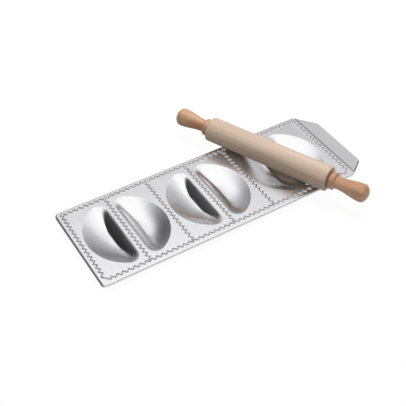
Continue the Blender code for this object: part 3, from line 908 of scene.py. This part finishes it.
def make_roller():
    """The barrel on its bushes, the rod, and a washer and a handle at each end."""
    beech = wood("plain_beech", PLAIN_BEECH, BARE_WOOD_ROUGHNESS, coat=0.0)
    varnished = wood("clear_varnished_beech", VARNISHED_BEECH, VARNISHED_ROUGHNESS, VARNISH)
    metal, plastic = steel(), nylon()
    turned("barrel_wood", barrel_profile(), BARREL_STEPS, beech, "barrel", "roller_barrel",
           closed=True)
    turned("rod_steel", rod_profile(), TURNED_STEPS, metal, "roller_frame", "axle_rod")
    face = BARREL_LENGTH / 2
    for end, sign in (("front", 1), ("back", -1)):
        flipped = sign < 0
        turned(f"bush_{end}_nylon", bush_profile(), TURNED_STEPS, plastic, "barrel",
               f"bush_{end}", sign * face, flipped, closed=True)
        turned(f"washer_{end}_steel", washer_profile(), TURNED_STEPS, metal, "roller_frame",
               f"washer_{end}", sign * (face + FACE_GAP), flipped, closed=True)
        turned(f"handle_{end}_wood", handle_profile(), TURNED_STEPS, varnished, "roller_frame",
               f"handle_{end}", sign * (face + ROLLER_GAP), flipped)


# Studio


def studio_piece(name, bm, material_name, hidden_from=()):
    """An object from a bmesh, hidden from the rays named, and its material, still empty."""
    mesh = bpy.data.meshes.new(name)
    bm.to_mesh(mesh)
    bm.free()
    material = bpy.data.materials.new(material_name)
    material.use_nodes = True
    material.node_tree.nodes.clear()
    mesh.materials.append(material)
    piece = bpy.data.objects.new(name, mesh)
    for ray in hidden_from:
        setattr(piece, f"visible_{ray}", False)
    link(piece)
    return piece, material


def light_up(material, **light):
    """A glow as the whole look of a material."""
    lamp = add_node(material, "ShaderNodeEmission", light)
    add_node(material, "ShaderNodeOutputMaterial", {"Surface": lamp.outputs[0]})


def make_floor():
    """A white floor that keeps a soft shadow. Gloss sees it lit in front of the tray only."""
    bm = bmesh.new()
    bmesh.ops.create_grid(bm, x_segments=1, y_segments=1, size=FLOOR_REACH)
    floor, material = studio_piece("floor", bm, "floor_white")
    path = add_node(material, "ShaderNodeLightPath")
    clear = maths(material, "MAXIMUM", path.outputs["Is Camera Ray"],
                  path.outputs["Is Transmission Ray"])
    seen = maths(material, "MAXIMUM", clear, path.outputs["Is Glossy Ray"])
    behind = map_range(material, part_of(material, own_place(material), "Y"),
                       from_min=TRAY_LOW.y - FLOOR_FADE, from_max=TRAY_LOW.y)
    mirrored = mix(material, behind, grey(FLOOR_FRONT), grey(FLOOR_BEHIND))
    glow = mix(material, clear, mirrored, grey(FLOOR_WHITE))
    paper = add_node(material, "ShaderNodeBsdfDiffuse", {"Color": grey(FLOOR_PAPER)})
    white = add_node(material, "ShaderNodeEmission", {"Color": glow, "Strength": 1.0})
    both = add_node(material, "ShaderNodeMixShader",
                    {0: maths(material, "MULTIPLY", seen, FLOOR_GLOW),
                     1: paper.outputs[0], 2: white.outputs[0]})
    add_node(material, "ShaderNodeOutputMaterial", {"Surface": both.outputs[0]})


def make_card():
    """A small pale card beside the tray, which only the polished metal mirrors."""
    bm = bmesh.new()
    bmesh.ops.create_grid(bm, x_segments=1, y_segments=1, size=CARD_SIDE / 2)
    card, material = studio_piece("card", bm, "card_light", ALL_BUT_GLOSSY)
    aim_at(card, CARD_AT, CARD_AIM, front="Z")
    light_up(material, Strength=CARD_GLOW)


def make_surround():
    """What the polished metal mirrors: bright overhead, greyer low down, dark at the back left."""
    bm = bmesh.new()
    bmesh.ops.create_icosphere(bm, subdivisions=SURROUND_FINENESS, radius=SURROUND_RADIUS)
    dome, material = studio_piece("surround", bm, "surround_light", ALL_BUT_GLOSSY)
    way = add_node(material, "ShaderNodeVectorMath", {0: own_place(material)},
                   operation="NORMALIZE").outputs["Vector"]
    height = part_of(material, way, "Z")
    nearness = add_node(material, "ShaderNodeVectorMath", {0: way, 1: FLAG_WAY},
                        operation="DOT_PRODUCT").outputs["Value"]
    flag = mix(material, ramp(material, height, FLAG_LOW_END), grey(1.0),
               ramp(material, nearness, FLAG_SHADE))
    glow = mix(material, 1.0, ramp(material, height, SURROUND_LIFT), flag, "MULTIPLY")
    path = add_node(material, "ShaderNodeLightPath")
    bounced = maths(material, "MINIMUM", path.outputs["Diffuse Depth"], 1.0)
    power = map_range(material, bounced, to_min=SURROUND_POWER, to_max=BOUNCED_POWER)
    light_up(material, Color=glow, Strength=power)


def make_world():
    """Even white light, at full white where the camera, gloss or glass looks straight at it."""
    world = bpy.data.worlds.new("studio")
    bpy.context.scene.world = world
    world.use_nodes = True
    background = world.node_tree.nodes["Background"]
    way = add_node(world, "ShaderNodeTexCoord").outputs["Generated"]
    soft = ramp(world, part_of(world, way, "Z"), SKY_LIGHT)
    path = add_node(world, "ShaderNodeLightPath")
    seen = maths(world, "MAXIMUM", path.outputs["Is Camera Ray"], path.outputs["Is Glossy Ray"])
    seen = maths(world, "MAXIMUM", seen, path.outputs["Is Transmission Ray"])
    background.inputs["Color"].default_value = grey(1.0)
    join(world, background, strength=maths(world, "MAXIMUM", seen, soft))


def make_key_lamp():
    """The lamp that lights the wood and casts the soft shadow. The metal doesn't mirror it."""
    light = bpy.data.lights.new("key", "AREA")
    light.shape = "DISK"
    light.size = KEY_SIZE
    light.energy = KEY_POWER
    lamp = bpy.data.objects.new("key", light)
    lamp.visible_glossy = False
    aim_at(lamp, KEY_AT, KEY_AIM)
    link(lamp)


def make_camera():
    """The camera that was fitted to the tray's corners and the roller's outline."""
    data = bpy.data.cameras.new("camera")
    data.sensor_width = SENSOR
    data.lens = CAMERA_LENS
    data.clip_start = CLIP_START
    camera = bpy.data.objects.new("camera", data)
    aim_at(camera, CAMERA_AT, CAMERA_AIM)
    link(camera)
    bpy.context.scene.camera = camera


make_tray(aluminium())
make_roller()
make_floor()
make_surround()
make_card()
make_world()
make_key_lamp()
make_camera()
bpy.context.scene.view_settings.view_transform = "Standard"
